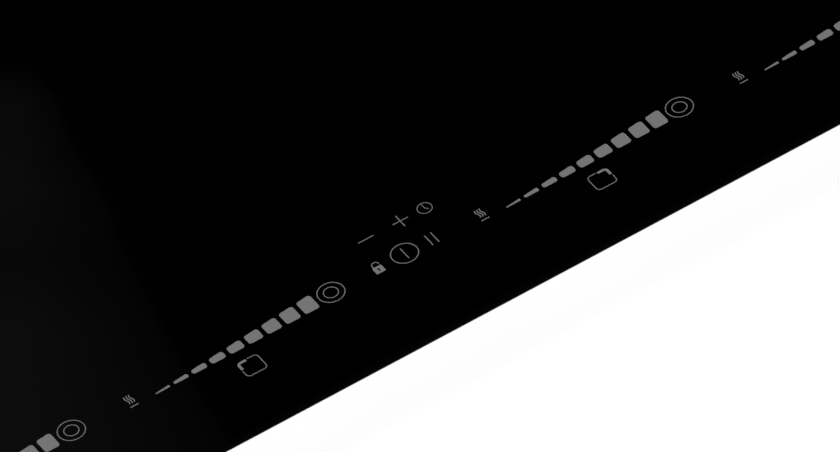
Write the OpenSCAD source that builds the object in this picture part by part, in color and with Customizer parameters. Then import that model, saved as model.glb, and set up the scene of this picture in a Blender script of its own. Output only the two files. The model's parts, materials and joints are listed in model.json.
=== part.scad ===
// Built-in electric induction cooktop, four zones, 60 cm class, touch controls.
// Origin: centre of the underside of the tray. +X right, +Y to the back, +Z up.

/* [Glass plate] */
// Width of the glass-ceramic plate
glass_w = 590; // [586:1:600]
// Depth of the glass-ceramic plate, front to back
glass_d = 520; // [516:1:526]
// Thickness of the glass-ceramic plate
glass_t = 4; // [4:0.5:5]
// Radius of the plate's four corners
glass_r = 6; // [4:0.5:10]
// Width of the ground chamfer along the plate's edges
glass_chamfer = 0.6; // [0.4:0.1:1]

/* [Housing] */
// Width of the sheet-steel tray that drops into the worktop
tray_w = 552; // [548:1:554]
// Depth of the sheet-steel tray
tray_d = 482; // [478:1:484]
// Height from the tray's underside to the worktop surface
tray_h = 48; // [48:0.5:52]
// Distance from the tray's front wall back to the step down to full depth
step_back = 35; // [30:1:36]
// Height of the raised front floor, under the control board
step_h = 34; // [32:0.5:34]
// Radius of the tray's upright corners
tray_r = 8; // [6:1:12]
// Sheet thickness
sheet_t = 1; // [1:0.1:1.2]
// Thickness of the foam gasket between glass and worktop
gasket_t = 2; // [1.5:0.5:2]
// Width of the foam gasket
gasket_w = 12; // [8:1:12]

/* [Coils] */
// Outer radius of the front left winding
coil_r_fl = 96; // [80:1:98]
// Outer radius of the rear left winding
coil_r_rl = 64; // [58:1:78]
// Outer radius of the rear right winding
coil_r_rr = 80; // [70:1:84]
// Outer radius of the front right winding
coil_r_fr = 80; // [70:1:84]
// Inner radius of every winding
coil_r_in = 18; // [16:1:22]
// Pitch of the litz turns
turn_pitch = 3.8; // [3.4:0.2:4.6]

/* [Control row] */
// Distance from the front edge of the glass to the centre of the power key
row_y = 48.25; // [46:0.05:54]
// Pitch from segment to segment along a slider
seg_pitch = 9.08; // [8.6:0.02:9.2]
// Width of one slider segment
seg_w = 6.95; // [6:0.05:7.4]
// Number of segments in a slider
seg_n = 9; // [7:1:9]
// Height of the wedge at its thin end
seg_h0 = 0.55; // [0.4:0.05:1.6]
// Rise of the wedge per millimetre of length
seg_slope = 0.107; // [0.08:0.005:0.12]
// Thickness of the fired enamel print
print_t = 0.1; // [0.08:0.01:0.2]
// Width of the fine printed lines
line_w = 0.37; // [0.3:0.01:0.7]

/* [Fan] */
// Outer radius of the blower wheel
fan_r = 40; // [36:1:42]
// Number of blades on the blower wheel
fan_blades = 24; // [16:1:30]

/* [Clamps] */
// Reach of a worktop clamp from its screw
clamp_reach = 44; // [38:1:46]
// Width of a clamp's strip
clamp_w = 20; // [16:1:22]

/* [Hidden] */

// heights
z_seat = tray_h;                       // worktop surface
z_glass = z_seat + gasket_t;           // underside of the glass
z_top = z_glass + glass_t;             // cooking surface
z_plate = 30;                          // underside of the coil support plate
z_coil = z_glass - 12;                 // underside of a coil carrier
board_z = 8;                           // underside of the power boards

// frame between tray and glass
frame_gap = 0.2;
frame_w = tray_w - 2*sheet_t - 2*frame_gap;
frame_d = tray_d - 2*sheet_t - 2*frame_gap;

// coil positions
coil_x = 140;
p_fl = [-coil_x, -72];
p_rl = [-coil_x, 128];
p_rr = [coil_x, 124];
p_fr = [coil_x, -80];

// control row: the power key is on the plate's centre line
row = [0, -glass_d/2 + row_y];
slider_x = [-249, -123.3, 47.2, 174];
wedge_l = seg_pitch*(seg_n - 1) + seg_w;
key_r = 5.87;
boost_dx = wedge_l + 7.86;
base_y = -4.45;
zone_s = 10;
zone_corner = [[-1, -1], [-1, 1], [1, 1], [1, -1]];

// blower
fan_c = [-50, 166];

// terminal box
tb_x0 = 134; tb_x1 = 226; tb_y0 = 168; tb_y1 = 239; tb_top = 26;
tb_c = (tb_x0 + tb_x1)/2;
cable_z = 13;
cable_r = 6;
hinge_y = 176;
hinge_z = 4.4;

// clamps: screw positions and pockets in the tray's floor
clamp_x = tray_w/2 - 20;
clamp_y = [170, 200];                  // front pair, rear pair
step_y = -tray_d/2 + step_back;
pocket_h = 12;

// ---------------------------------------------------------------- helpers
function unit(v) = v / norm(v);
function left_of(v) = [-v[1], v[0]];
function heading(p, i) = i == 0 ? unit(p[1] - p[0])
    : i == len(p) - 1 ? unit(p[i] - p[i - 1])
    : unit(unit(p[i] - p[i - 1]) + unit(p[i + 1] - p[i]));
function flank(p, w, s) = [for (i = [0:len(p) - 1]) p[i] + s*w/2*left_of(heading(p, i))];
function flipped(p) = [for (i = [len(p) - 1:-1:0]) p[i]];
function arc(c, r, a0, a1, n) = [for (i = [0:n]) c + r*[cos(a0 + (a1 - a0)*i/n), sin(a0 + (a1 - a0)*i/n)]];

// a line of constant width along points
module stroke(p, w) { polygon(concat(flank(p, w, 1), flipped(flank(p, w, -1)))); }

// rectangle with true round corners, centred
module round_rect(w, d, r) {
    union() {
        square([w - 2*r, d], center = true);
        square([w, d - 2*r], center = true);
        for (sx = [-1, 1], sy = [-1, 1]) translate([sx*(w/2 - r), sy*(d/2 - r)]) circle(r = r, $fn = 48);
    }
}
module round_ring(w, d, r, t) {
    difference() {
        round_rect(w, d, r);
        round_rect(w - 2*t, d - 2*t, max(0.5, r - t));
    }
}
// slot with round ends, centred, along X
module slot2(l, w) {
    union() {
        square([l - w, w], center = true);
        for (s = [-1, 1]) translate([s*(l - w)/2, 0]) circle(d = w, $fn = 24);
    }
}
module box3(x0, x1, y0, y1, z0, z1) { translate([x0, y0, z0]) cube([x1 - x0, y1 - y0, z1 - z0]); }
module tube(r, ri, h) {
    difference() {
        cylinder(r = r, h = h, $fn = 64);
        translate([0, 0, -1]) cylinder(r = ri, h = h + 2, $fn = 64);
    }
}

// ---------------------------------------------------------------- glass
// plate with ground edges: a chamfered section in X crossed with one in Y, and
// chamfered round corners
module edge_section(w) {
    c = glass_chamfer;
    polygon([[-w/2 + c, 0], [w/2 - c, 0], [w/2, c], [w/2, glass_t - c], [w/2 - c, glass_t],
        [-w/2 + c, glass_t], [-w/2, glass_t - c], [-w/2, c]]);
}
module corner_cut() {
    c = glass_chamfer;
    difference() {
        translate([0, 0, -1]) cube([glass_r + 1, glass_r + 1, glass_t + 2]);
        rotate_extrude($fn = 96) polygon([[0, 0], [glass_r - c, 0], [glass_r, c], [glass_r, glass_t - c],
            [glass_r - c, glass_t], [0, glass_t]]);
    }
}
module glass_plate() {
    color([0.03, 0.03, 0.035])
    translate([0, 0, z_glass])
    difference() {
        intersection() {
            translate([0, glass_d/2 + 1, 0]) rotate([90, 0, 0]) linear_extrude(glass_d + 2) edge_section(glass_w);
            translate([-glass_w/2 - 1, 0, 0]) rotate([90, 0, 90]) linear_extrude(glass_w + 2) edge_section(glass_d);
        }
        for (i = [0:3]) rotate([0, 0, 0])
            translate([(i == 0 || i == 3 ? 1 : -1)*(glass_w/2 - glass_r), (i < 2 ? 1 : -1)*(glass_d/2 - glass_r), 0])
                rotate([0, 0, 90*i]) corner_cut();
    }
}

// ---------------------------------------------------------------- print
// one slider segment: level foot, slanted top, rounded corners
module segment(hl) {
    m = seg_slope;
    a = atan(m);
    r = min(1.25, 0.44*hl);
    k = sqrt(1 + m*m);
    polygon(concat(
        arc([r, r], r, 180, 270, 4),
        arc([seg_w - r, r], r, 270, 360, 4),
        arc([seg_w - r, hl + m*(seg_w - r) - r*k], r, 0, 90 + a, 4),
        arc([r, hl + m*r - r*k], r, 90 + a, 180, 4)));
}
module ring2(r, w) {
    difference() {
        circle(r = r + w/2, $fn = 64);
        circle(r = r - w/2, $fn = 64);
    }
}
// keep-warm mark: three rising waves over a bar
module warm_mark() {
    for (k = [-1, 0, 1])
        translate([k*1.14, 0]) stroke([for (t = [0:12]) [0.37*sin(t*30), -2.6 + 5.05*t/12]], 0.42);
    translate([-1.9, -4.7]) square([3.8, 0.46]);
}
// rounded square with one bold corner that tells which zone a slider sets
module zone_mark(c) {
    s = zone_s/2;
    difference() {
        round_ring(zone_s, zone_s, 2, line_w);
        translate([c[0]*(s - 2.4), c[1]*(s - 2.4)]) square(5.9, center = true);
    }
    intersection() {
        round_ring(zone_s, zone_s, 2, 1.2);
        translate([c[0]*(s - 2.25), c[1]*(s - 2.25)]) square(4.8, center = true);
    }
}
module slider(c) {
    for (i = [0:seg_n - 1])
        translate([i*seg_pitch, base_y]) segment(seg_h0 + seg_slope*i*seg_pitch);
    translate([boost_dx, 0]) { ring2(key_r, line_w); ring2(3.17, line_w); }
    translate([-10.37, 0.1]) warm_mark();
    translate([39.75, -15.68]) zone_mark(c);
}
module padlock() {
    difference() {
        translate([-13.25, -1.35]) round_rect(4.3, 4.15, 0.35);
        translate([-13.25, -0.95]) circle(r = 0.58, $fn = 24);
        translate([-13.25, -1.85]) square([0.5, 1.5], center = true);
    }
    stroke(concat([[-14.65, 0.6]], arc([-13.07, 1.9], 1.58, 180, 0, 10), [[-11.49, 1.7]]), 0.42);
}
module centre_keys() {
    ring2(key_r, line_w);
    square([0.4, 7.1], center = true);
    translate([-8.2, 17.44]) square([7.5, 0.4], center = true);
    translate([8.58, 17.48]) { square([7.4, 0.4], center = true); square([0.42, 7.6], center = true); }
    translate([20.5, 17.46]) {
        ring2(3.2, line_w*0.8);
        stroke(concat([[0, 3.1], [0, 1.6]], arc([1.5, 0.5], 1.5, 180, 232, 4), [[1.12, -1.6]]), 0.28);
    }
    for (x = [11.83, 14.78]) translate([x, 0.02]) square([0.4, 7], center = true);
    padlock();
}
module control_print() {
    color([0.5, 0.5, 0.5])
    translate([row[0], row[1], z_top]) linear_extrude(print_t) {
        for (i = [0:3]) translate([slider_x[i], 0]) slider(zone_corner[i]);
        centre_keys();
    }
}

// ---------------------------------------------------------------- seal and frame
module worktop_gasket() {
    color([0.10, 0.10, 0.10])
    translate([0, 0, z_seat]) linear_extrude(gasket_t) round_ring(glass_w - 4, glass_d - 4, 5, gasket_w);
}
module glass_adhesive() {
    color([0.15, 0.15, 0.16])
    translate([0, 0, z_glass - 0.8]) linear_extrude(0.8)
        round_ring(frame_w - 0.6, frame_d - 0.6, tray_r - sheet_t, 6);
}
module tray_screw_places() {
    for (s = [-1, 1], y = [-120, 0, 120]) translate([s*tray_w/2, y, z_seat - 6]) rotate([0, s*90, 0]) children();
    for (s = [-1, 1], x = [-180, 180]) translate([x, s*tray_d/2, z_seat - 6]) rotate([-s*90, 0, 0]) children();
}
module glass_frame() {
    color([0.62, 0.63, 0.65])
    difference() {
        union() {
            translate([0, 0, z_seat - 12]) linear_extrude(12 + gasket_t - 0.8)
                round_ring(frame_w, frame_d, tray_r - sheet_t, sheet_t);
            translate([0, 0, z_seat + gasket_t - 0.8 - sheet_t]) linear_extrude(sheet_t)
                round_ring(frame_w, frame_d, tray_r - sheet_t, 7);
        }
        tray_screw_places() translate([0, 0, -5]) cylinder(r = 1.6, h = 6, $fn = 24);
    }
}

// ---------------------------------------------------------------- tray
module pocket_places() {
    for (sx = [-1, 1], sy = [-1, 1]) translate([sx*clamp_x, sy*clamp_y[sy < 0 ? 0 : 1], 0])
        mirror([sx < 0 ? 1 : 0, 0, 0]) mirror([0, sy < 0 ? 1 : 0, 0]) children();
}
// everything in front of the step and below a height
module front_void(y, z) { box3(-tray_w, tray_w, -tray_d, y, -5, z); }
// rows of ventilation slots in a wall, along X, centred
module slot_row(n, pitch, l, w) {
    for (i = [0:n - 1]) translate([(i - (n - 1)/2)*pitch, 0]) slot2(l, w);
}
module bottom_tray() {
    color([0.72, 0.73, 0.75])
    difference() {
        union() {
            difference() {
                difference() {
                    linear_extrude(z_seat) round_rect(tray_w, tray_d, tray_r);
                    front_void(step_y, step_h);
                }
                difference() {
                    translate([0, 0, sheet_t]) linear_extrude(z_seat)
                        round_rect(tray_w - 2*sheet_t, tray_d - 2*sheet_t, tray_r - sheet_t);
                    front_void(step_y + sheet_t, step_h + sheet_t);
                }
            }
            pocket_places() {
                box3(-21, 19.5, -52, 16, 0, pocket_h + sheet_t);
                translate([0, 0, pocket_h]) cylinder(r = 4.5, h = 7, $fn = 48);
            }
        }
        // pockets that the clamps fold into, open to the side
        pocket_places() {
            box3(-20, 22, -51, 15, -1, pocket_h);
            translate([0, 0, pocket_h - 1]) cylinder(r = 2.05, h = 10, $fn = 32);
        }
        // access to the terminals
        box3(tb_x0 + 2, tb_x1 - 2, tb_y0 + 2, tb_y1 - 7, -1, 2);
        // fan intake: slots cut short by a circle
        translate([fan_c[0], fan_c[1], -1]) linear_extrude(3)
            for (i = [-4:4]) translate([0, i*8]) slot2(2*sqrt(36*36 - 64*i*i) , 4);
        // outlet slots in the step's upright wall
        for (x = [-150, 0, 150], k = [0:11]) translate([x + (k - 5.5)*9, step_y + 3, 16])
            rotate([90, 0, 0]) linear_extrude(6) rotate([0, 0, 90]) slot2(20, 4);
        // slots in the side walls
        for (s = [-1, 1]) translate([s*(tray_w/2 - 2), 0, 26]) rotate([0, 0, s*90]) rotate([90, 0, 0])
            translate([0, 0, -3]) linear_extrude(6) slot_row(5, 24, 18, 4);
        // slots in the rear wall
        translate([-130, tray_d/2 + 2, 26]) rotate([90, 0, 0]) linear_extrude(4) slot_row(6, 24, 18, 4);
        // cable entry
        translate([tb_c, tray_d/2 + 2, cable_z]) rotate([90, 0, 0]) cylinder(r = 9.2, h = 4, $fn = 64);
        tray_screw_places() translate([0, 0, -5]) cylinder(r = 1.6, h = 6, $fn = 24);
    }
}

// ---------------------------------------------------------------- coils
module coil_support_plate() {
    color([0.80, 0.81, 0.83])
    difference() {
        union() {
            translate([0, 28, z_plate]) linear_extrude(1) round_rect(536, 412, 6);
            // stiffening flanges along the front and back
            box3(-262, 262, -178, -177, z_plate - 6, z_plate);
            box3(-262, 120, 233, 234, z_plate - 6, z_plate);
        }
        for (c = [[p_fl, coil_r_fl], [p_rl, coil_r_rl], [p_rr, coil_r_rr], [p_fr, coil_r_fr]])
            translate([c[0][0], c[0][1], z_plate - 1]) cylinder(r = 14, h = 3, $fn = 48);
        translate([0, -150, z_plate - 1]) linear_extrude(3) slot2(60, 10);
        translate([0, 40, z_plate - 1]) linear_extrude(3) slot2(40, 12);
    }
}
// former: flat dish with a hub, a rim and ribs between the ferrite bars
module coil_carrier(p, r) {
    n = r > 90 ? 10 : 8;
    color([0.20, 0.20, 0.21])
    translate([p[0], p[1], z_coil]) difference() {
        union() {
            cylinder(r = r + 3, h = 1.2, $fn = 96);
            tube(r + 3, r + 1.2, 8);
            tube(coil_r_in - 0.6, coil_r_in - 2.6, 10);
            for (i = [0:n - 1]) rotate([0, 0, (i + 0.5)*360/n])
                translate([coil_r_in + 6, -1.5, 0]) cube([r - coil_r_in - 8, 3, 4.8]);
        }
        translate([0, 0, -1]) cylinder(r = 6.5, h = 12, $fn = 48);
    }
}
module ferrite_bars(p, r) {
    n = r > 90 ? 10 : 8;
    color([0.16, 0.15, 0.15])
    translate([p[0], p[1], z_coil + 1.2]) for (i = [0:n - 1]) rotate([0, 0, i*360/n])
        translate([coil_r_in + 4, -5, 0]) cube([r - coil_r_in - 8, 10, 3.6]);
}
// litz turns laid side by side in one flat layer
module coil_winding(p, r) {
    n = floor((r - coil_r_in)/turn_pitch);
    w = (r - coil_r_in)/n;
    color([0.66, 0.36, 0.20])
    translate([p[0], p[1], z_coil + 5]) rotate_extrude($fn = 96)
        polygon(concat([[coil_r_in, 0]], [[r, 0]],
            [for (i = [0:n - 1], q = [[0.08, 3.2], [0.30, 4.6], [0.70, 4.6], [0.92, 3.2]])
                [r - (i + q[0])*w, q[1]]]));
}
// three leaf springs that press the coil up against the glass
module leaf(h) {
    translate([0, 4, 0]) rotate([90, 0, 0]) linear_extrude(8)
        stroke([[-12, 0.3], [-9, 0.3], [-4, h - 0.3], [4, h - 0.3], [9, 0.3], [12, 0.3]], 0.56);
}
module coil_springs(p, r) {
    color([0.75, 0.76, 0.78])
    translate([p[0], p[1], z_plate + 1]) for (a = [90, 210, 330]) rotate([0, 0, a])
        translate([0.62*r, 0, 0]) rotate([0, 0, 90]) leaf(z_coil - z_plate - 1);
}
// temperature probe in its silicone cap, on the hub's centre
module coil_sensor(p) {
    color([0.75, 0.30, 0.22])
    translate([p[0], p[1], z_coil]) rotate_extrude($fn = 48)
        polygon([[0, -3], [3, -3], [6.3, -1], [6.3, 2], [9, 2], [9, 6], [8, 11], [5, 11.8], [0, 11.8]]);
}
module insulation_mats() {
    color([0.86, 0.84, 0.78])
    for (c = [[p_fl, coil_r_fl], [p_rl, coil_r_rl], [p_rr, coil_r_rr], [p_fr, coil_r_fr]])
        translate([c[0][0], c[0][1], z_glass - 1.2]) tube(c[1] + 4, 13, 1.2);
}

// ---------------------------------------------------------------- electronics
// moulded carrier: floor plate, feet, posts for the boards and the coil support
module electronics_carrier() {
    color([0.23, 0.24, 0.25])
    union() {
        difference() {
            union() {
                translate([-12, -30, 2.4]) linear_extrude(2) round_rect(440, 260, 8);
                box3(36, 122, 96, 228, 2.4, 4.4);
            }
            for (x = [-190, -120, 100, 160]) translate([x, -25, 2]) linear_extrude(3) round_rect(46, 180, 6);
            translate([79, 172, 2]) linear_extrude(3) round_rect(50, 70, 6);
        }
        for (x = [-226, 196], y = [-150, 90]) carrier_post(x, y);
        carrier_post(-30, -150);
        carrier_post(-30, 96);
        for (x = [-222, -96, 50, 182], y = [-132, 74]) translate([x, y, 4.4]) cylinder(r = 3, h = board_z - 4.4, $fn = 32);
        for (x = [42, 116], y = [124, 222]) translate([x, y, 4.4]) cylinder(r = 3, h = board_z - 4.4, $fn = 32);
    }
}
// foot on the tray's floor and post up to the coil support plate
module carrier_post(x, y) {
    translate([x, y, sheet_t]) cylinder(r = 5, h = 1.4, $fn = 32);
    translate([x, y, 2.4]) cylinder(r = 4, h = z_plate - 2.4, $fn = 32);
}
module board(x0, x1, y0, y1, z) {
    color([0.10, 0.33, 0.20]) difference() {
        box3(x0, x1, y0, y1, z, z + 1.6);
        for (x = [x0 + 4, x1 - 4], y = [y0 + 4, y1 - 4]) translate([x, y, z - 1]) cylinder(r = 1.7, h = 4, $fn = 24);
    }
}
module power_board_left() { board(-229, -38, -140, 84, board_z); }
module power_board_right() { board(-22, 190, -140, 84, board_z); }
// extruded sink: base and upright fins along the air flow
module heat_sink() {
    color([0.74, 0.75, 0.77])
    rotate([90, 0, 0]) linear_extrude(190, center = true) union() {
        translate([-16, 0]) square([32, 4]);
        for (i = [0:6]) translate([-16 + i*5, 0]) square([2, 17.5]);
    }
}
module heat_sink_left() { translate([-58, -28, board_z + 1.6]) heat_sink(); }
module heat_sink_right() { translate([0, -28, board_z + 1.6]) heat_sink(); }
module power_semiconductors() {
    color([0.12, 0.12, 0.13])
    for (s = [-1, 1], y = [-105, -70, -10, 30]) translate([-29 + s*47.5, y, board_z + 1.6 + 6]) union() {
        cube([5, 16, 12], center = true);
        translate([-s*1.5, 0, 7]) cube([2, 10, 2.4], center = true);
    }
}
module resonance_capacitors() {
    color([0.15, 0.25, 0.55])
    for (x = [-190, -150, 130, 165], y = [-100, 30]) translate([x - 13, y - 16, board_z + 1.6]) cube([26, 32, 16]);
}
module filter_board() { board(34, 124, 118, 232, board_z); }
module filter_chokes() {
    color([0.70, 0.42, 0.20])
    for (y = [140, 178]) translate([60, y, board_z + 1.6]) rotate_extrude($fn = 64)
        translate([11, 6]) circle(r = 5.9, $fn = 48);
}
module filter_capacitors() {
    color([0.80, 0.62, 0.20])
    for (y = [130, 152, 174, 196]) translate([90, y, board_z + 1.6]) cube([26, 12, 15]);
}
module earth_tag() {
    color([0.80, 0.66, 0.30])
    union() {
        box3(-140, -116, 150, 162, sheet_t, sheet_t + 0.8);
        translate([-134, 156, sheet_t + 0.8]) cylinder(r = 4, h = 2.4, $fn = 6);
        box3(-117.5, -116, 152, 160, sheet_t + 0.8, sheet_t + 9);
    }
}

// ---------------------------------------------------------------- cooling
// blower casing: round chamber, intake in the floor, outlet to the front
module fan_housing() {
    color([0.16, 0.16, 0.17])
    translate([fan_c[0], fan_c[1], 1]) difference() {
        union() {
            linear_extrude(26) round_rect(100, 96, 10);
            translate([-40, -62, 0]) cube([60, 30, 26]);
        }
        translate([0, 0, 2]) cylinder(r = 45, h = 22, $fn = 96);
        translate([-38, -64, 2]) cube([56, 64, 22]);
        translate([0, 0, -1]) cylinder(r = 37, h = 5, $fn = 96);
    }
}
// pot motor hung from the casing's roof, with the wheel's shaft
module fan_motor() {
    color([0.55, 0.56, 0.58])
    translate([fan_c[0], fan_c[1], 1]) union() {
        translate([0, 0, 14]) cylinder(r = 12, h = 10, $fn = 64);
        translate([0, 0, 4.2]) cylinder(r = 1.5, h = 12, $fn = 32);
    }
}
module fan_rotor() {
    color([0.28, 0.29, 0.31])
    translate([fan_c[0], fan_c[1], 1]) difference() {
        union() {
            // hub cup over the motor
            translate([0, 0, 6]) cylinder(r = 16, h = 15, $fn = 64);
            // back plate
            translate([0, 0, 20]) cylinder(r = fan_r, h = 1.4, $fn = 96);
            // lip that ties the blades together
            translate([0, 0, 4]) tube(fan_r, fan_r - 2.4, 1.6);
            for (i = [0:fan_blades - 1]) rotate([0, 0, i*360/fan_blades])
                translate([fan_r - 11, 0, 4.4]) rotate([0, 0, 30]) translate([0, -0.7, 0]) cube([10.6, 1.4, 16]);
        }
        translate([0, 0, 8.5]) cylinder(r = 13.5, h = 20, $fn = 64);
        translate([0, 0, 3]) cylinder(r = 1.56, h = 8, $fn = 32);
    }
}
// tunnel over the two heat sinks, open at both ends
module air_duct() {
    color([0.20, 0.20, 0.22])
    difference() {
        box3(-78, 20, -126, 92, 10, 29.4);
        box3(-76.4, 18.4, -127, 93, 9, 27.9);
        box3(-95, 40, -115, 60, 9, 24.5);
    }
}

// ---------------------------------------------------------------- touch control
tbw = 538; tbd = 46; tby = row[1] + 3; tbz = z_glass - 5;
module touch_board() {
    color([0.10, 0.33, 0.20])
    difference() {
        box3(-tbw/2, tbw/2, tby - tbd/2 + 2, tby + tbd/2 - 2, tbz, tbz + 1.6);
        for (x = [-264, -90, 90, 264]) translate([x, tby + 17, tbz - 1]) cylinder(r = 1.7, h = 4, $fn = 24);
    }
}
module touch_board_holder() {
    color([0.87, 0.87, 0.85])
    union() {
        difference() {
            box3(-tbw/2 - 1.8, tbw/2 + 1.8, tby - tbd/2, tby + tbd/2, tbz - 8, tbz + 1);
            box3(-tbw/2 + 1.5, tbw/2 - 1.5, tby - tbd/2 + 3.5, tby + tbd/2 - 3.5, tbz - 6.4, tbz + 2);
            box3(-tbw/2 - 0.3, tbw/2 + 0.3, tby - tbd/2 + 1.8, tby + tbd/2 - 1.8, tbz, tbz + 2);
            box3(-30, 30, tby + 8, tby + 14, tbz - 9, tbz - 6);
        }
        for (x = [-215, -65, 65, 215]) translate([x, tby - 12, step_h + sheet_t]) cylinder(r = 4, h = tbz - 8 - step_h - sheet_t, $fn = 32);
    }
}
// sprung contact pads that carry the touch through the glass
module sensor_contacts() {
    color([0.30, 0.30, 0.32])
    translate([row[0], row[1], tbz + 1.6]) linear_extrude(z_glass - tbz - 1.6) {
        for (i = [0:3], k = [0:seg_n - 1]) translate([slider_x[i] + k*seg_pitch + seg_w/2, 0]) square([6.4, 8], center = true);
        for (i = [0:3]) translate([slider_x[i] + boost_dx, 0]) circle(r = 5, $fn = 32);
        for (i = [0:3]) translate([slider_x[i] - 10.4, 0]) circle(r = 4, $fn = 32);
        for (p = [[0, 0], [-13.2, 0], [13.4, 0], [-8.2, 17.4], [8.58, 17.4], [20.7, 17.4]])
            translate(p) circle(r = 4.2, $fn = 32);
    }
}
module light_guides() {
    color([0.92, 0.92, 0.90])
    translate([row[0], row[1], tbz + 1.6]) {
        for (i = [0:3], k = [0:seg_n - 1]) translate([slider_x[i] + k*seg_pitch + seg_w/2, 8]) cylinder(r = 1.5, h = 3, $fn = 24);
        for (x = slider_x) translate([x + 39.9, -14, 0]) cylinder(r = 2, h = 3, $fn = 24);
    }
}
module ribbon_cable() {
    color([0.75, 0.75, 0.76])
    translate([18, 0, 0]) rotate([90, 0, -90]) linear_extrude(22)
        stroke([[197, 44.9], [197, 24], [194, 20], [175, 20], [160, 18], [137, 14], [132, 10.4]], 0.8);
}

// ---------------------------------------------------------------- mains terminals
// box over the opening in the tray's floor, open downwards
module terminal_box() {
    color([0.15, 0.15, 0.16])
    difference() {
        box3(tb_x0, tb_x1, tb_y0, tb_y1, sheet_t, tb_top);
        box3(tb_x0 + 2, tb_x1 - 2, tb_y0 + 2, tb_y1 - 2, sheet_t - 1, tb_top - 2);
        translate([tb_x0 - 1, hinge_y, hinge_z]) rotate([0, 90, 0]) cylinder(r = 1.58, h = tb_x1 - tb_x0 + 2, $fn = 32);
        translate([tb_c, tb_y1 - 4, cable_z]) rotate([-90, 0, 0]) cylinder(r = 9.2, h = 8, $fn = 64);
    }
}
module terminal_cover() {
    color([0.13, 0.13, 0.14])
    union() {
        box3(tb_x0 + 3, tb_x1 - 3, hinge_y - 3, tb_y1 - 8, 0.4, 2.2);
        for (x = [tb_x0 + 3, tb_x1 - 9]) translate([x, hinge_y - 2.6, 2]) cube([6, 5.2, 4.6]);
        for (x = [tb_x0 + 0.3, tb_x1 - 5.3]) translate([x, hinge_y, hinge_z]) rotate([0, 90, 0]) cylinder(r = 1.5, h = 5, $fn = 32);
        for (y = [188, 198, 208, 218]) box3(tb_x0 + 14, tb_x1 - 14, y, y + 1.2, 2, 3.2);
    }
}
module terminal_block() {
    color([0.88, 0.87, 0.82])
    translate([tb_c, 190, tb_top - 2]) mirror([0, 0, 1]) difference() {
        translate([-36, -10, 0]) cube([72, 20, 11]);
        for (i = [0:5]) translate([-30 + i*12, 0, 4]) cylinder(r = 3.2, h = 8, $fn = 32);
        for (i = [0:4]) translate([-24 + i*12 - 0.6, -11, 6]) cube([1.2, 22, 6]);
    }
}
module terminal_screws() {
    color([0.83, 0.70, 0.36])
    for (i = [0:5]) translate([tb_c - 30 + i*12, 190, tb_top - 6]) mirror([0, 0, 1]) difference() {
        cylinder(r = 2.8, h = 4, $fn = 32);
        translate([-3, -0.4, 3]) cube([6, 0.8, 2]);
    }
}
// flanged entry bush for the mains lead, in the rear wall
module cable_bush() {
    color([0.10, 0.10, 0.10])
    translate([tb_c, tb_y1 - 3, cable_z]) rotate([-90, 0, 0]) difference() {
        union() {
            cylinder(r = 9, h = tray_d/2 + 8 - (tb_y1 - 3), $fn = 64);
            translate([0, 0, tray_d/2 - (tb_y1 - 3)]) cylinder(r = 12, h = 3, $fn = 64);
        }
        translate([0, 0, -1]) cylinder(r = cable_r, h = 40, $fn = 64);
    }
}
module cable_clamp() {
    color([0.80, 0.80, 0.78])
    union() {
        box3(tb_c - 17, tb_c + 17, 212, 220, cable_z - cable_r - 2.6, cable_z - cable_r - 0.4);
        for (s = [-1, 1]) translate([tb_c + s*13, 216, cable_z - cable_r - 0.6]) cylinder(r = 3, h = tb_top - 2 - cable_z + cable_r + 0.6, $fn = 32);
        for (s = [-1, 1]) translate([tb_c + s*13, 216, 3.6]) cylinder(r = 2.4, h = 1.2, $fn = 24);
    }
}

// ---------------------------------------------------------------- fixing
// folded strip: eye on the screw, step up, lip that bears on the worktop's underside
module clamp_bracket() {
    color([0.70, 0.71, 0.73])
    difference() {
        union() {
            translate([0, 0, 4]) cylinder(r = clamp_w/2 - 1, h = 2, $fn = 64);
            box3(-clamp_w/2 + 1, clamp_w/2 - 1, -clamp_reach + 12, 0, 4, 6);
            box3(-clamp_w/2 + 1, clamp_w/2 - 1, -clamp_reach + 10, -clamp_reach + 12, 4, 10);
            box3(-clamp_w/2 + 1, clamp_w/2 - 1, -clamp_reach, -clamp_reach + 12, 8, 10);
        }
        translate([0, 0, 3]) cylinder(r = 2.3, h = 4, $fn = 48);
    }
}
module clamp_at(sx, sy) {
    translate([sx*clamp_x, sy*clamp_y[sy < 0 ? 0 : 1], 0]) mirror([sx < 0 ? 1 : 0, 0, 0])
        mirror([0, sy < 0 ? 1 : 0, 0]) clamp_bracket();
}
module clamp_bracket_front_left() { clamp_at(-1, -1); }
module clamp_bracket_front_right() { clamp_at(1, -1); }
module clamp_bracket_rear_left() { clamp_at(-1, 1); }
module clamp_bracket_rear_right() { clamp_at(1, 1); }
// pan-head screws with a cross recess
module screw(r, hr, hh, l) {
    difference() {
        union() {
            cylinder(r = hr, h = hh, $fn = 48);
            translate([0, 0, hh]) cylinder(r = r, h = l, $fn = 32);
        }
        for (a = [0, 90]) rotate([0, 0, a]) translate([-hr*0.55, -hr*0.11, -1]) cube([hr*1.1, hr*0.22, 1 + hh*0.45]);
    }
}
module clamp_screws() {
    color([0.78, 0.79, 0.80])
    pocket_places() translate([0, 0, 1]) screw(2, 4.2, 2.8, 14);
}
module tray_screws() {
    color([0.78, 0.79, 0.80])
    tray_screw_places() translate([0, 0, 2]) mirror([0, 0, 1]) screw(1.5, 3.2, 2, 5);
}

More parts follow.
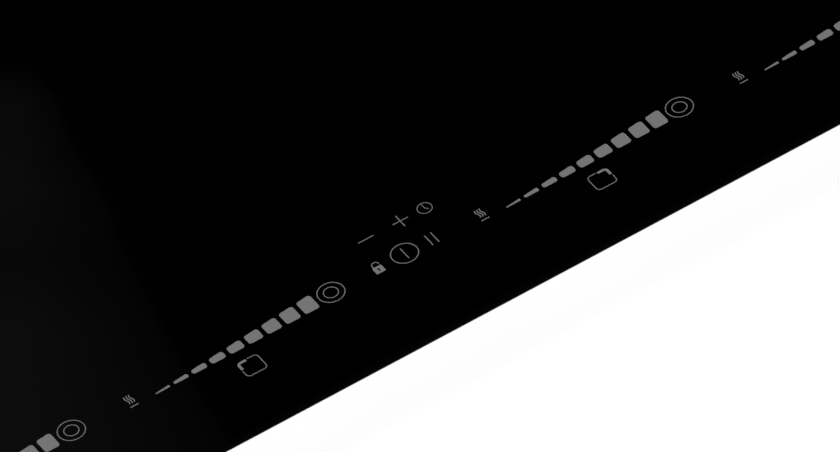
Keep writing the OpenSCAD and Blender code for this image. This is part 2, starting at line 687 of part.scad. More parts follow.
glass_plate();
control_print();
worktop_gasket();
glass_adhesive();
glass_frame();
bottom_tray();
coil_support_plate();
coil_carrier(p_fl, coil_r_fl);  // coil_carrier_front_left
coil_carrier(p_rl, coil_r_rl);  // coil_carrier_rear_left
coil_carrier(p_rr, coil_r_rr);  // coil_carrier_rear_right
coil_carrier(p_fr, coil_r_fr);  // coil_carrier_front_right
coil_winding(p_fl, coil_r_fl);  // coil_winding_front_left
coil_winding(p_rl, coil_r_rl);  // coil_winding_rear_left
coil_winding(p_rr, coil_r_rr);  // coil_winding_rear_right
coil_winding(p_fr, coil_r_fr);  // coil_winding_front_right
ferrite_bars(p_fl, coil_r_fl);  // ferrite_bars_front_left
ferrite_bars(p_rl, coil_r_rl);  // ferrite_bars_rear_left
ferrite_bars(p_rr, coil_r_rr);  // ferrite_bars_rear_right
ferrite_bars(p_fr, coil_r_fr);  // ferrite_bars_front_right
coil_springs(p_fl, coil_r_fl);  // coil_springs_front_left
coil_springs(p_rl, coil_r_rl);  // coil_springs_rear_left
coil_springs(p_rr, coil_r_rr);  // coil_springs_rear_right
coil_springs(p_fr, coil_r_fr);  // coil_springs_front_right
coil_sensor(p_fl);  // coil_sensor_front_left
coil_sensor(p_rl);  // coil_sensor_rear_left
coil_sensor(p_rr);  // coil_sensor_rear_right
coil_sensor(p_fr);  // coil_sensor_front_right
insulation_mats();
electronics_carrier();
power_board_left();
power_board_right();
heat_sink_left();
heat_sink_right();
power_semiconductors();
resonance_capacitors();
filter_board();
filter_chokes();
filter_capacitors();
fan_housing();
fan_motor();
fan_rotor();
air_duct();
touch_board();
touch_board_holder();
sensor_contacts();
light_guides();
ribbon_cable();
terminal_box();
terminal_cover();
terminal_block();
terminal_screws();
cable_bush();
cable_clamp();
clamp_bracket_front_left();
clamp_bracket_front_right();
clamp_bracket_rear_left();
clamp_bracket_rear_right();
clamp_screws();
tray_screws();
earth_tag();
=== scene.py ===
"""Built-in induction cooktop: materials, fine pieces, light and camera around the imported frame."""
import json
import math

import bmesh
import bpy
from mathutils import Matrix, Vector


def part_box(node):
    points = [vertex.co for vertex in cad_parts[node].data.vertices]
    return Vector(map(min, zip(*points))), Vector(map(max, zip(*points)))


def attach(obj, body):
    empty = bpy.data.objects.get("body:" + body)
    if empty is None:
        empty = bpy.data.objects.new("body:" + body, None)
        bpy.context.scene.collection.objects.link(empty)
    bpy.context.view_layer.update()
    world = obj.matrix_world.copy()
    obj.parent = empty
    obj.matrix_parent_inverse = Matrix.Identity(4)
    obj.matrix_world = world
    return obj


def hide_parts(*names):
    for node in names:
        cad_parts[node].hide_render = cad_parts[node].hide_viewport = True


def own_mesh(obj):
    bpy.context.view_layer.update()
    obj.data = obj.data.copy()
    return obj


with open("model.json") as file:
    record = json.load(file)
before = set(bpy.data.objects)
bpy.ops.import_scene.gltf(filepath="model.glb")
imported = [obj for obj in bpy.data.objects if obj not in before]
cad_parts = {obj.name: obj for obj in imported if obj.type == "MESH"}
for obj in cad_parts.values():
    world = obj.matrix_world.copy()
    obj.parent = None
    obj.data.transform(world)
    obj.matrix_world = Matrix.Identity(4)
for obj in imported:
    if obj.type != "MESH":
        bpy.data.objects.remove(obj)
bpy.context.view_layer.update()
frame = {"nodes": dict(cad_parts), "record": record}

NODES = frame["nodes"]
SLOT = {s["node"]: s["material_slot"] for s in frame["record"]["subparts"]}


# ------------------------------------------------------------------ materials
def new_mat(name):
    m = bpy.data.materials.new(name)
    m.use_nodes = True
    nt = m.node_tree
    nt.nodes.clear()
    out = nt.nodes.new("ShaderNodeOutputMaterial")
    p = nt.nodes.new("ShaderNodeBsdfPrincipled")
    nt.links.new(p.outputs["BSDF"], out.inputs["Surface"])
    tc = nt.nodes.new("ShaderNodeTexCoord")
    return m, nt, p, tc.outputs["Object"]


def noise(nt, vec, scale, detail=3.0, rough=0.55, stretch=None, distortion=0.0):
    if stretch:
        mp = nt.nodes.new("ShaderNodeMapping")
        mp.inputs["Scale"].default_value = stretch
        nt.links.new(vec, mp.inputs["Vector"])
        vec = mp.outputs["Vector"]
    n = nt.nodes.new("ShaderNodeTexNoise")
    n.inputs["Scale"].default_value = scale
    n.inputs["Detail"].default_value = detail
    n.inputs["Roughness"].default_value = rough
    n.inputs["Distortion"].default_value = distortion
    nt.links.new(vec, n.inputs["Vector"])
    return n.outputs["Fac"]


def voronoi(nt, vec, scale, feature="F1", out="Distance", stretch=None, randomness=1.0):
    if stretch:
        mp = nt.nodes.new("ShaderNodeMapping")
        mp.inputs["Scale"].default_value = stretch
        nt.links.new(vec, mp.inputs["Vector"])
        vec = mp.outputs["Vector"]
    v = nt.nodes.new("ShaderNodeTexVoronoi")
    v.feature = feature
    v.inputs["Scale"].default_value = scale
    v.inputs["Randomness"].default_value = randomness
    nt.links.new(vec, v.inputs["Vector"])
    return v.outputs[out]


def ramp(nt, fac, stops, interp="LINEAR"):
    r = nt.nodes.new("ShaderNodeValToRGB")
    cr = r.color_ramp
    cr.interpolation = interp
    while len(cr.elements) < len(stops):
        cr.elements.new(0.5)
    for e, (pos, col) in zip(cr.elements, stops):
        e.position = pos
        e.color = (*col, 1.0) if len(col) == 3 else col
    nt.links.new(fac, r.inputs["Fac"])
    return r.outputs["Color"]


def remap(nt, fac, lo, hi, a=0.0, b=1.0):
    r = nt.nodes.new("ShaderNodeMapRange")
    r.inputs["From Min"].default_value = a
    r.inputs["From Max"].default_value = b
    r.inputs["To Min"].default_value = lo
    r.inputs["To Max"].default_value = hi
    nt.links.new(fac, r.inputs["Value"])
    return r.outputs["Result"]


def mixc(nt, fac, a, b, mode="MIX"):
    n = nt.nodes.new("ShaderNodeMix")
    n.data_type = "RGBA"
    n.blend_type = mode
    if isinstance(fac, float):
        n.inputs[0].default_value = fac
    else:
        nt.links.new(fac, n.inputs[0])
    for sock, val in ((6, a), (7, b)):
        if isinstance(val, tuple):
            n.inputs[sock].default_value = (*val, 1.0)
        else:
            nt.links.new(val, n.inputs[sock])
    return n.outputs[2]


def bump(nt, p, height, strength=0.2, dist=0.0002, chain=None):
    b = nt.nodes.new("ShaderNodeBump")
    b.inputs["Strength"].default_value = strength
    b.inputs["Distance"].default_value = dist
    nt.links.new(height, b.inputs["Height"])
    if chain is not None:
        nt.links.new(chain, b.inputs["Normal"])
    nt.links.new(b.outputs["Normal"], p.inputs["Normal"])
    return b.outputs["Normal"]


def shade(c, k):
    return tuple(max(0.0, min(1.0, x * k)) for x in c)


def plastic(name, col, rough=0.5, grain=1800.0, depth=0.00006, var=0.12, ior=1.5):
    m, nt, p, v = new_mat(name)
    big = noise(nt, v, 18.0, 3.0)
    fine = noise(nt, v, grain, 2.0)
    c = ramp(nt, big, [(0.3, shade(col, 1 - var)), (0.7, shade(col, 1 + var))])
    nt.links.new(c, p.inputs["Base Color"])
    nt.links.new(remap(nt, fine, rough - 0.06, rough + 0.08), p.inputs["Roughness"])
    p.inputs["IOR"].default_value = ior
    bump(nt, p, fine, 0.35, depth)
    return m


def metal(name, col, rough=0.3, stretch=(1, 1, 1), scale=600.0, var=0.10, depth=0.00002, metallic=1.0):
    m, nt, p, v = new_mat(name)
    line = noise(nt, v, scale, 4.0, 0.6, stretch)
    cloud = noise(nt, v, 12.0, 3.0)
    c = ramp(nt, line, [(0.25, shade(col, 1 - var)), (0.75, shade(col, 1 + var))])
    c = mixc(nt, remap(nt, cloud, 0.0, 0.35), c, shade(col, 0.86))
    nt.links.new(c, p.inputs["Base Color"])
    nt.links.new(remap(nt, line, rough - 0.08, rough + 0.10), p.inputs["Roughness"])
    p.inputs["Metallic"].default_value = metallic
    bump(nt, p, line, 0.3, depth)
    return m


def galvanised(name):
    """Hot-dip galvanised sheet: fine crystals with their own tone and gloss, faint rolling lines."""
    m, nt, p, v = new_mat(name)
    warp = nt.nodes.new("ShaderNodeVectorMath")
    warp.operation = "MULTIPLY_ADD"
    n = nt.nodes.new("ShaderNodeTexNoise")
    n.inputs["Scale"].default_value = 160.0
    nt.links.new(v, n.inputs["Vector"])
    nt.links.new(n.outputs["Color"], warp.inputs[0])
    warp.inputs[1].default_value = (0.006, 0.006, 0.006)
    nt.links.new(v, warp.inputs[2])
    cell = nt.nodes.new("ShaderNodeTexVoronoi")
    cell.inputs["Scale"].default_value = 260.0
    nt.links.new(warp.outputs[0], cell.inputs["Vector"])
    sep = nt.nodes.new("ShaderNodeSeparateColor")
    nt.links.new(cell.outputs["Color"], sep.inputs["Color"])
    tone = ramp(nt, sep.outputs[0], [(0.0, (0.355, 0.365, 0.378)), (0.5, (0.400, 0.410, 0.420)), (1.0, (0.455, 0.463, 0.470))])
    cloud = noise(nt, v, 9.0, 4.0)
    tone = mixc(nt, remap(nt, cloud, 0.05, 0.45, 0.35, 0.7), tone, (0.345, 0.353, 0.362))
    scuff = noise(nt, v, 34.0, 5.0, 0.62, (1.0, 0.10, 1.0))
    tone = mixc(nt, remap(nt, scuff, 0.0, 0.16, 0.52, 0.72), tone, (0.52, 0.525, 0.53))
    nt.links.new(tone, p.inputs["Base Color"])
    nt.links.new(remap(nt, sep.outputs[1], 0.38, 0.52), p.inputs["Roughness"])
    p.inputs["Metallic"].default_value = 0.85
    fine = noise(nt, v, 2200.0, 2.0)
    bump(nt, p, fine, 0.25, 0.00002)
    return m


def glass_ceramic(name):
    """Black glass-ceramic: mirror gloss, with the very slight waviness and haze of rolled glass."""
    m, nt, p, v = new_mat(name)
    haze = noise(nt, v, 7.0, 3.0)
    nt.links.new(ramp(nt, haze, [(0.35, (0.00010, 0.00010, 0.00011)), (0.65, (0.00022, 0.00022, 0.00024))]), p.inputs["Base Color"])
    micro = noise(nt, v, 900.0, 2.0)
    nt.links.new(remap(nt, micro, 0.018, 0.034), p.inputs["Roughness"])
    p.inputs["IOR"].default_value = 1.53
    wave = noise(nt, v, 11.0, 1.0)
    bump(nt, p, wave, 0.10, 0.00010)
    return m


def ground_glass(name):
    """The plate's ground edge: the same black glass, fine-ground, so it hardly mirrors anything."""
    m, nt, p, v = new_mat(name)
    grind = noise(nt, v, 1600.0, 3.0, 0.6, (1.0, 1.0, 3.0))
    nt.links.new(ramp(nt, grind, [(0.3, (0.0002, 0.0002, 0.0002)), (0.7, (0.0005, 0.0005, 0.0005))]), p.inputs["Base Color"])
    nt.links.new(remap(nt, grind, 0.50, 0.66), p.inputs["Roughness"])
    p.inputs["Specular IOR Level"].default_value = 0.004
    bump(nt, p, grind, 0.2, 0.00001)
    return m


def enamel(name, col):
    """Fired screen print: satin grey with the faint grain of the mesh it was printed through."""
    m, nt, p, v = new_mat(name)
    grain = noise(nt, v, 5200.0, 2.0, 0.6)
    cloud = noise(nt, v, 60.0, 2.0)
    c = ramp(nt, grain, [(0.30, shade(col, 0.93)), (0.70, shade(col, 1.06))])
    c = mixc(nt, remap(nt, cloud, 0.0, 0.25), c, shade(col, 0.95))
    nt.links.new(c, p.inputs["Base Color"])
    nt.links.new(remap(nt, grain, 0.42, 0.56), p.inputs["Roughness"])
    p.inputs["Specular IOR Level"].default_value = 0.15
    bump(nt, p, grain, 0.2, 0.00001)
    return m


def foam(name, col, cell=1400.0, depth=0.0003):
    m, nt, p, v = new_mat(name)
    d = voronoi(nt, v, cell)
    n = noise(nt, v, 40.0, 3.0)
    c = ramp(nt, d, [(0.0, shade(col, 0.45)), (0.5, col), (1.0, shade(col, 1.4))])
    c = mixc(nt, remap(nt, n, 0.0, 0.3), c, shade(col, 0.8))
    nt.links.new(c, p.inputs["Base Color"])
    nt.links.new(remap(nt, n, 0.78, 0.95), p.inputs["Roughness"])
    p.inputs["Specular IOR Level"].default_value = 0.25
    bump(nt, p, d, 0.6, depth)
    return m


def circuit(name, col):
    m, nt, p, v = new_mat(name)
    traces = voronoi(nt, v, 260.0, "F1", "Distance", (1, 1, 0.01), 0.35)
    c = ramp(nt, traces, [(0.30, shade(col, 1.5)), (0.42, col), (0.9, shade(col, 0.75))])
    nt.links.new(c, p.inputs["Base Color"])
    n = noise(nt, v, 900.0, 2.0)
    nt.links.new(remap(nt, n, 0.28, 0.42), p.inputs["Roughness"])
    bump(nt, p, traces, 0.25, 0.00005)
    return m


def litz(name, col):
    """Enamelled strands: fine twist across each turn."""
    m, nt, p, v = new_mat(name)
    strand = noise(nt, v, 1500.0, 2.0, 0.5, (1.0, 1.0, 0.3))
    c = ramp(nt, strand, [(0.3, shade(col, 0.6)), (0.7, shade(col, 1.35))])
    nt.links.new(c, p.inputs["Base Color"])
    p.inputs["Metallic"].default_value = 0.6
    nt.links.new(remap(nt, strand, 0.3, 0.5), p.inputs["Roughness"])
    bump(nt, p, strand, 0.5, 0.0002)
    return m


MAT = {
    "glass_ceramic": glass_ceramic("glass_ceramic_black"),
    "print_enamel": enamel("print_enamel_grey", (0.186, 0.186, 0.186)),
    "seal_foam": foam("seal_foam_black", (0.030, 0.030, 0.031)),
    "silicone_black": plastic("silicone_bead", (0.02, 0.02, 0.021), 0.38, 500.0, 0.0002),
    "galvanised_steel": galvanised("galvanised_sheet"),
    "aluminium_sheet": metal("aluminium_sheet", (0.72, 0.73, 0.75), 0.36, (1.0, 0.06, 1.0), 900.0),
    "former_plastic": plastic("former_polyamide", (0.05, 0.05, 0.055), 0.55),
    "litz_aluminium": litz("litz_enamelled", (0.52, 0.25, 0.11)),
    "ferrite": plastic("ferrite_sintered", (0.07, 0.065, 0.065), 0.62, 2600.0, 0.00012, 0.2),
    "spring_steel": metal("spring_strip", (0.58, 0.58, 0.60), 0.22, (1.0, 0.1, 1.0), 1500.0),
    "silicone_red": plastic("silicone_cap", (0.50, 0.12, 0.07), 0.45, 700.0, 0.0001),
    "mica": foam("mica_fleece", (0.70, 0.67, 0.58), 700.0, 0.0002),
    "carrier_plastic": plastic("moulded_carrier", (0.045, 0.047, 0.05), 0.5),
    "circuit_board": circuit("solder_resist_green", (0.022, 0.12, 0.055)),
    "aluminium_extruded": metal("aluminium_extruded", (0.66, 0.67, 0.69), 0.34, (1.0, 0.03, 1.0), 1400.0),
    "component_black": plastic("moulded_black", (0.028, 0.028, 0.029), 0.48),
    "capacitor_case": plastic("capacitor_blue", (0.04, 0.11, 0.36), 0.25, 500.0, 0.00003),
    "choke_copper": litz("choke_winding", (0.62, 0.26, 0.11)),
    "capacitor_yellow": plastic("capacitor_yellow", (0.70, 0.48, 0.07), 0.25, 500.0, 0.00003),
    "motor_steel": metal("motor_cup", (0.42, 0.42, 0.44), 0.3),
    "holder_plastic": plastic("natural_moulding", (0.76, 0.75, 0.69), 0.5),
    "contact_foam": foam("conductive_foam", (0.08, 0.08, 0.085), 2200.0, 0.00015),
    "light_guide": plastic("diffusing_acrylic", (0.82, 0.82, 0.80), 0.3, 900.0, 0.00003, 0.04),
    "ribbon_grey": plastic("ribbon_insulation", (0.52, 0.52, 0.53), 0.45, 1200.0, 0.00005),
    "brass": metal("machined_brass", (0.78, 0.58, 0.24), 0.25, (0.2, 1.0, 1.0), 1800.0),
    "bush_rubber": plastic("bush_moulding", (0.024, 0.024, 0.025), 0.6, 900.0, 0.0001),
    "zinc_steel": metal("zinc_plated", (0.43, 0.44, 0.43), 0.30, (1.0, 1.0, 1.0), 500.0, 0.10),
}
for name, obj in NODES.items():
    obj.data.materials.clear()
    obj.data.materials.append(MAT[SLOT[name]])
    for poly in obj.data.polygons:
        poly.material_index = 0
        poly.use_smooth = True
    obj.data.set_sharp_from_angle(angle=math.radians(28))


# ------------------------------------------------------------------ pieces
def add_mesh(name, verts, faces, mat, body="housing", smooth=False):
    me = bpy.data.meshes.new(name)
    me.from_pydata([tuple(v) for v in verts], [], faces)
    me.validate()
    me.update()
    if smooth:
        for p in me.polygons:
            p.use_smooth = True
    o = bpy.data.objects.new(name, me)
    bpy.context.scene.collection.objects.link(o)
    me.materials.append(mat)
    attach(o, body)
    return o


def rounded_outline(x0, x1, y0, y1, r, n=16):
    pts = []
    for cx, cy, a0 in ((x1 - r, y1 - r, 0), (x0 + r, y1 - r, 90), (x0 + r, y0 + r, 180), (x1 - r, y0 + r, 270)):
        for i in range(n + 1):
            a = math.radians(a0 + 90.0 * i / n)
            pts.append((cx + r * math.cos(a), cy + r * math.sin(a)))
    return pts


# glass plate: ground and polished edge, a full round of small radius at top and bottom arris
g_lo, g_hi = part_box("glass_plate")
R_CORNER, R_EDGE = 0.006, 0.0009


def glass_mesh():
    rings = []
    n_arc = 6
    prof = []
    for i in range(n_arc + 1):  # top arris, inner to outer
        a = math.radians(90 - 90.0 * i / n_arc)
        prof.append((R_EDGE - R_EDGE * math.cos(a), g_hi.z - R_EDGE + R_EDGE * math.sin(a)))
    for i in range(n_arc + 1):  # bottom arris, outer to inner
        a = math.radians(-90.0 * i / n_arc)
        prof.append((R_EDGE - R_EDGE * math.cos(a), g_lo.z + R_EDGE + R_EDGE * math.sin(a)))
    verts, faces = [], []
    for inset, z in prof:
        o = rounded_outline(g_lo.x + inset, g_hi.x - inset, g_lo.y + inset, g_hi.y - inset, R_CORNER - inset, 14)
        rings.append([len(verts) + k for k in range(len(o))])
        verts += [(x, y, z) for x, y in o]
    m = len(rings[0])
    for a, b in zip(rings, rings[1:]):
        for k in range(m):
            faces.append((a[k], b[k], b[(k + 1) % m], a[(k + 1) % m]))
    faces.append(tuple(rings[0]))
    faces.append(tuple(reversed(rings[-1])))
    return verts, faces


gv, gf = glass_mesh()
glass = add_mesh("glass_plate_polished", gv, gf, MAT["glass_ceramic"], smooth=True)
glass.data.materials.append(ground_glass("glass_edge_ground"))
for p in glass.data.polygons:
    if len(p.vertices) > 4:
        p.use_smooth = False
    else:
        p.material_index = 1
bm = bmesh.new()
bm.from_mesh(glass.data)
bmesh.ops.recalc_face_normals(bm, faces=bm.faces)
bm.to_mesh(glass.data)
bm.free()
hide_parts("glass_plate")


def plate_piece(name, x0, x1, y0, y1, z0, z1, r, mat, body="housing", round_edge=0.0):
    """Flat piece with round corners between two heights."""
    o = rounded_outline(x0, x1, y0, y1, r, 8)
    m = len(o)
    levels = [(z0, 0.0), (z1, 0.0)]
    if round_edge:
        levels = [(z0, round_edge), (z0 + round_edge * 0.3, round_edge * 0.3), (z0 + round_edge, 0.0), (z1, 0.0)]
    verts, faces = [], []
    for z, inset in levels:
        verts += [(x, y, z) for x, y in rounded_outline(x0 + inset, x1 - inset, y0 + inset, y1 - inset, max(r - inset, 0.0001), 8)]
    for k in range(len(levels) - 1):
        for i in range(m):
            faces.append((k * m + i, k * m + (i + 1) % m, (k + 1) * m + (i + 1) % m, (k + 1) * m + i))
    faces.append(tuple(range(m - 1, -1, -1)))
    faces.append(tuple(range((len(levels) - 1) * m, len(levels) * m)))
    return add_mesh(name, verts, faces, mat, body)


def frame_piece(name, bars, z0, z1, mat, body="housing"):
    """Thin printed rules: a set of rectangles as one mesh."""
    verts, faces = [], []
    for x0, x1, y0, y1 in bars:
        b = len(verts)
        verts += [(x, y, z) for z in (z0, z1) for x, y in ((x0, y0), (x1, y0), (x1, y1), (x0, y1))]
        faces += [(b + 3, b + 2, b + 1, b), (b + 4, b + 5, b + 6, b + 7)]
        faces += [(b + i, b + (i + 1) % 4, b + 4 + (i + 1) % 4, b + 4 + i) for i in range(4)]
    return add_mesh(name, verts, faces, mat, body)


def domes(name, places, radius, height, mat, body="housing", down=True):
    """Low domed heads on a flat underside."""
    verts, faces = [], []
    n = 20
    for x, y, z in places:
        base = len(verts)
        for k in range(4):
            a = math.radians(90.0 * k / 4)
            rr, h = radius * math.cos(a), height * math.sin(a)
            verts += [(x + rr * math.cos(2 * math.pi * i / n), y + rr * math.sin(2 * math.pi * i / n), z - h if down else z + h) for i in range(n)]
        verts.append((x, y, z - height if down else z + height))
        for k in range(3):
            for i in range(n):
                q = (base + k * n + i, base + k * n + (i + 1) % n, base + (k + 1) * n + (i + 1) % n, base + (k + 1) * n + i)
                faces.append(tuple(reversed(q)) if down else q)
        for i in range(n):
            q = (base + 3 * n + i, base + 3 * n + (i + 1) % n, base + 4 * n)
            faces.append(tuple(reversed(q)) if down else q)
        faces.append(tuple(base + i for i in (range(n) if down else range(n - 1, -1, -1))))
    o = add_mesh(name, verts, faces, mat, body, smooth=True)
    o.data.set_sharp_from_angle(angle=math.radians(40))
    return o


label_silver = metal("label_film_silver", (0.60, 0.61, 0.62), 0.42, (1.0, 1.0, 1.0), 900.0, 0.05, 0.00001, 0.55)
label_white = plastic("label_film_white", (0.74, 0.74, 0.73), 0.38, 1600.0, 0.00002, 0.03)
ink = plastic("label_ink", (0.035, 0.035, 0.037), 0.5, 1200.0, 0.00001)
UNDER = -0.00012
plate_piece("rating_label", -0.165, -0.075, -0.060, -0.006, UNDER, 0.0001, 0.002, label_silver)
frame_piece("rating_label_rules", [(-0.162, -0.078, -0.0575, -0.0571), (-0.162, -0.078, -0.0089, -0.0085), (-0.162, -0.1616, -0.0575, -0.0085),
    (-0.0784, -0.078, -0.0575, -0.0085), (-0.162, -0.078, -0.0335, -0.0332), (-0.162, -0.078, -0.0215, -0.0212),
    (-0.1203, -0.1200, -0.0575, -0.0335)], UNDER - 0.00006, UNDER + 0.00002, ink)
plate_piece("terminal_label", 0.060, 0.118, 0.108, 0.134, UNDER, 0.0001, 0.0015, label_white)
frame_piece("terminal_label_rules", [(0.0615, 0.1165, 0.1095, 0.1098), (0.0615, 0.1165, 0.1322, 0.1325), (0.0615, 0.0618, 0.1095, 0.1325),
    (0.1162, 0.1165, 0.1095, 0.1325), (0.089, 0.0893, 0.1095, 0.1325)], UNDER - 0.00006, UNDER + 0.00002, ink)
# terminal cover's outer face: raised border, hinge-side rib and a ribbed finger tab at the free end
t_lo, t_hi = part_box("terminal_cover")
tx0, tx1 = t_lo.x + 0.0045, t_hi.x - 0.0045
ty1 = t_hi.y - 0.0020
rim = [(tx0, tx1, 0.1755, 0.1775), (tx0, tx1, ty1 - 0.0020, ty1), (tx0, tx0 + 0.0020, 0.1775, ty1 - 0.0020), (tx1 - 0.0020, tx1, 0.1775, ty1 - 0.0020)]
frame_piece("cover_border", rim, 0.00012, 0.00045, MAT["component_black"], "terminal_cover")
frame_piece("cover_tab_ribs", [(0.168, 0.192, ty1 - 0.0050 - 0.0022 * k - 0.0009, ty1 - 0.0050 - 0.0022 * k) for k in range(4)], 0.00008, 0.00045,
    MAT["component_black"], "terminal_cover")
frame_piece("cover_stiffeners", [(tx0 + 0.010 + 0.0155 * k, tx0 + 0.0112 + 0.0155 * k, 0.183, 0.214) for k in range(5)], 0.00018, 0.00045,
    MAT["component_black"], "terminal_cover")
# clinched joints and rivet heads in the tray's floor
domes("tray_rivets", [(x, y, 0.00003) for x, y in ((-0.226, -0.155), (-0.226, 0.105), (0.196, -0.155), (0.196, 0.105), (-0.030, -0.176), (-0.030, 0.102),
    (0.110, 0.205), (0.110, 0.172), (-0.122, 0.156))], 0.0027, 0.0010, MAT["zinc_steel"])


# stiffening beads pressed out of the tray's floor: axis, middle, half length, offset, half width
BEADS = (("X", -0.010, 0.150, -0.140, 0.0055), ("X", -0.010, 0.190, -0.085, 0.0055), ("X", -0.010, 0.190, 0.060, 0.0055),
    ("Y", -0.012, 0.050, -0.205, 0.0055), ("Y", -0.012, 0.050, 0.190, 0.0055), ("X", -0.205, 0.020, 0.150, 0.0055),
    ("X", 0.075, 0.022, 0.150, 0.0055), ("X", 0.075, 0.022, 0.185, 0.0055))
BEAD_DEEP = 0.0016


def pressed_beads():
    verts, faces = [], []
    n, levels = 14, 9
    for axis, mid, half, off, wide in BEADS:
        base = len(verts)
        for k in range(levels):
            t = k / (levels - 1)
            w = wide * (1.0 - 0.45 * t)
            z = 0.00002 - BEAD_DEEP * t * t * (3.0 - 2.0 * t)
            for side, a0 in ((1, -90), (-1, 90)):
                for i in range(n + 1):
                    a = math.radians(a0 + 180.0 * i / n)
                    u, v = mid + side * half + w * math.cos(a), off + w * math.sin(a)
                    verts.append((u, v, z) if axis == "X" else (-v + 2 * off, u, z))
        m = 2 * (n + 1)
        for k in range(levels - 1):
            for i in range(m):
                faces.append((base + k * m + i, base + (k + 1) * m + i, base + (k + 1) * m + (i + 1) % m, base + k * m + (i + 1) % m))
        faces.append(tuple(base + (levels - 1) * m + i for i in range(m - 1, -1, -1)))
        faces.append(tuple(base + i for i in range(m)))
    o = add_mesh("tray_beads", verts, faces, MAT["galvanised_steel"], smooth=True)
    o.data.set_sharp_from_angle(angle=math.radians(28))
    return o


beads = pressed_beads()

# leaf springs under the coils, as smooth-shaded copies of the CAD springs; the real springs flatten onto the
# support plate as their coil goes down, these copies keep their CAD shape
for corner in ("front_left", "rear_left", "rear_right", "front_right"):
    node = NODES["coil_springs_" + corner]
    s_lo, s_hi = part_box("coil_springs_" + corner)
    spring = add_mesh("leaf_springs_" + corner, [v.co.copy() for v in node.data.vertices], [tuple(q.vertices) for q in node.data.polygons],
        MAT["spring_steel"], smooth=True)
    spring.data.set_sharp_from_angle(angle=math.radians(28))
    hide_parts("coil_springs_" + corner)
    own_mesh(spring)


# ------------------------------------------------------------------ stage, light, camera
Z_TOP = g_hi.z
scene = bpy.context.scene
scene.view_settings.view_transform = "Standard"
scene.view_settings.look = "None"
scene.view_settings.exposure = 0.0
scene.view_settings.gamma = 1.0

# floor: pale, seen and lit from above; from below it lets the eye and the light through
bpy.ops.mesh.primitive_plane_add(size=60.0, location=(0, 0, -0.0017))
floor = bpy.context.object
floor.name = "floor"
fm = bpy.data.materials.new("floor_white")
fm.use_nodes = True
nt = fm.node_tree
nt.nodes.clear()
out = nt.nodes.new("ShaderNodeOutputMaterial")
dif = nt.nodes.new("ShaderNodeBsdfDiffuse")
dif.inputs["Color"].default_value = (0.42, 0.42, 0.42, 1)
emi = nt.nodes.new("ShaderNodeEmission")
emi.inputs["Color"].default_value = (1, 1, 1, 1)
emi.inputs["Strength"].default_value = 0.89
add = nt.nodes.new("ShaderNodeAddShader")
nt.links.new(dif.outputs[0], add.inputs[0])
nt.links.new(emi.outputs[0], add.inputs[1])
clear = nt.nodes.new("ShaderNodeBsdfTransparent")
geo = nt.nodes.new("ShaderNodeNewGeometry")
lp = nt.nodes.new("ShaderNodeLightPath")
mx = nt.nodes.new("ShaderNodeMath")
mx.operation = "MAXIMUM"
nt.links.new(geo.outputs["Backfacing"], mx.inputs[0])
nt.links.new(lp.outputs["Is Shadow Ray"], mx.inputs[1])
mix = nt.nodes.new("ShaderNodeMixShader")
nt.links.new(mx.outputs[0], mix.inputs[0])
nt.links.new(add.outputs[0], mix.inputs[1])
nt.links.new(clear.outputs[0], mix.inputs[2])
nt.links.new(mix.outputs[0], out.inputs["Surface"])
floor.data.materials.append(fm)

# world: white low down, falling to black above, so the glass mirrors dark from a standing eye
world = bpy.data.worlds.new("studio")
scene.world = world
world.use_nodes = True
nt = world.node_tree
nt.nodes.clear()
wo = nt.nodes.new("ShaderNodeOutputWorld")
bg = nt.nodes.new("ShaderNodeBackground")
tc = nt.nodes.new("ShaderNodeTexCoord")
sep = nt.nodes.new("ShaderNodeSeparateXYZ")
nt.links.new(tc.outputs["Generated"], sep.inputs[0])
rp = nt.nodes.new("ShaderNodeValToRGB")
rp.color_ramp.interpolation = "EASE"
els = rp.color_ramp.elements
els[0].position = 0.0
els[0].color = (1, 1, 1, 1)
els[1].position = 0.58
els[1].color = (0, 0, 0, 1)
e = els.new(0.02)
e.color = (0.9, 0.9, 0.9, 1)
e = els.new(0.25)
e.color = (0.22, 0.22, 0.225, 1)
nt.links.new(sep.outputs["Z"], rp.inputs["Fac"])
nt.links.new(rp.outputs["Color"], bg.inputs["Color"])
bg.inputs["Strength"].default_value = 1.0
backdrop = nt.nodes.new("ShaderNodeBackground")
backdrop.inputs["Color"].default_value = (1, 1, 1, 1)
seen = nt.nodes.new("ShaderNodeLightPath")
pick = nt.nodes.new("ShaderNodeMixShader")
nt.links.new(seen.outputs["Is Camera Ray"], pick.inputs[0])
nt.links.new(bg.outputs[0], pick.inputs[1])
nt.links.new(backdrop.outputs[0], pick.inputs[2])
nt.links.new(pick.outputs[0], wo.inputs[0])


def softbox(name, az, el, dist, size, power, tint=(1, 1, 1)):
    a, e = math.radians(az), math.radians(el)
    d = Vector((math.sin(a) * math.cos(e), -math.cos(a) * math.cos(e), math.sin(e)))
    light = bpy.data.lights.new(name, "AREA")
    light.shape = "SQUARE"
    light.size = size
    light.energy = power
    light.color = tint
    o = bpy.data.objects.new(name, light)
    o.location = d * dist
    o.rotation_mode = "QUATERNION"
    o.rotation_quaternion = (-d).to_track_quat("-Z", "Y")
    scene.collection.objects.link(o)
    return o


for i, (az, pw) in enumerate(((-35, 26), (60, 22), (150, 24), (-125, 22))):
    softbox(f"softbox_{i}", az, 66, 3.2, 0.9, pw)
for i, (az, pw) in enumerate(((-40, 15), (140, 9))):
    softbox(f"under_{i}", az, -48, 3.0, 1.2, pw)

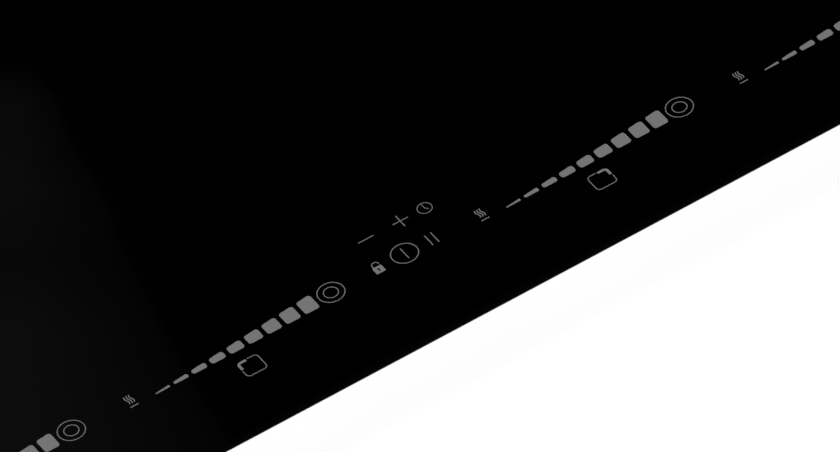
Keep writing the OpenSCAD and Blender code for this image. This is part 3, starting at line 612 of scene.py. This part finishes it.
# camera: the photograph's near-parallel close look at the control row
F_MM, D_M = 900.0, 8.6552
az, el, roll = math.radians(-23.9086), math.radians(43.5662), math.radians(-10.987)
tgt = Vector((0.01342, -0.20217, 0.0541))
back = Vector((math.sin(az) * math.cos(el), -math.cos(az) * math.cos(el), math.sin(el)))
cam_data = bpy.data.cameras.new("camera")
cam_data.type = "PERSP"
cam_data.sensor_width = 36.0
cam_data.lens = F_MM
cam_data.clip_start, cam_data.clip_end = 0.5, 60.0
cam = bpy.data.objects.new("camera", cam_data)
scene.collection.objects.link(cam)
X = Vector((0, 0, 1)).cross(back).normalized()
Y = back.cross(X)
Xr = X * math.cos(roll) + Y * math.sin(roll)
Yr = Y * math.cos(roll) - X * math.sin(roll)
cam.matrix_world = Matrix.Translation(tgt + back * D_M) @ Matrix((Xr, Yr, back)).transposed().to_4x4()
scene.camera = cam


# soft reflector: a dim card that the left of the plate mirrors towards the camera, brightest at its outer side
# and ending in an uneven edge. Only mirror rays see it.
CARD_EDGE = ((60, 24), (96, 56), (150, 76), (200, 108), (250, 122), (310, 155), (370, 186), (440, 228))
CARD_LEVEL = ((58, 0.0), (82, 5.0), (100, 8.5), (190, 10.5), (262, 7.6), (330, 12.2), (440, 12.4))


def along(table, x):
    if x <= table[0][0]:
        return float(table[0][1])
    for (x0, y0), (x1, y1) in zip(table, table[1:]):
        if x <= x1:
            return y0 + (y1 - y0) * (x - x0) / (x1 - x0)
    return float(table[-1][1])


def card_glow(u, v):
    edge, top = along(CARD_EDGE, v), along(CARD_LEVEL, v)
    t = (u - 20.0) / max(edge - 20.0, 1.0)
    lit = top - (top - 3.0) * max(0.0, min(1.0, t)) if top > 3.0 else top
    k = max(0.0, min(1.0, (edge + 7.0 - u) / 14.0))
    return lit / 255.0 / 12.92 / 0.0562 * k * k * (3.0 - 2.0 * k)


CARD_FAR = 1.5
step = 5
us, vs = list(range(-20, 251, step)), list(range(50, 461, step))
cv, glow = [], []
eye = cam.matrix_world.translation
for v in vs:
    for u in us:
        d = (Xr * ((u - 420) * 36.0 / 840.0) - Yr * ((v - 226) * 36.0 / 840.0) - back * F_MM).normalized()
        hit = eye + d * ((Z_TOP - eye.z) / d.z)
        cv.append(hit + Vector((d.x, d.y, -d.z)) * CARD_FAR)
        glow.append(card_glow(u, v))
nu = len(us)
cf = [(j * nu + i, j * nu + i + 1, (j + 1) * nu + i + 1, (j + 1) * nu + i) for j in range(len(vs) - 1) for i in range(nu - 1)]
cm = bpy.data.meshes.new("reflector")
cm.from_pydata([tuple(p) for p in cv], [], cf)
attr = cm.attributes.new("glow", "FLOAT", "POINT")
for i, g in enumerate(glow):
    attr.data[i].value = g
card = bpy.data.objects.new("reflector", cm)
scene.collection.objects.link(card)
rm = bpy.data.materials.new("reflector_glow")
rm.use_nodes = True
nt = rm.node_tree
nt.nodes.clear()
out = nt.nodes.new("ShaderNodeOutputMaterial")
emi = nt.nodes.new("ShaderNodeEmission")
at = nt.nodes.new("ShaderNodeAttribute")
at.attribute_name = "glow"
nt.links.new(at.outputs["Fac"], emi.inputs["Strength"])
nt.links.new(emi.outputs[0], out.inputs["Surface"])
cm.materials.append(rm)
card.visible_camera = False
card.visible_diffuse = False
card.visible_shadow = False
card.visible_transmission = False

bpy.context.view_layer.update()
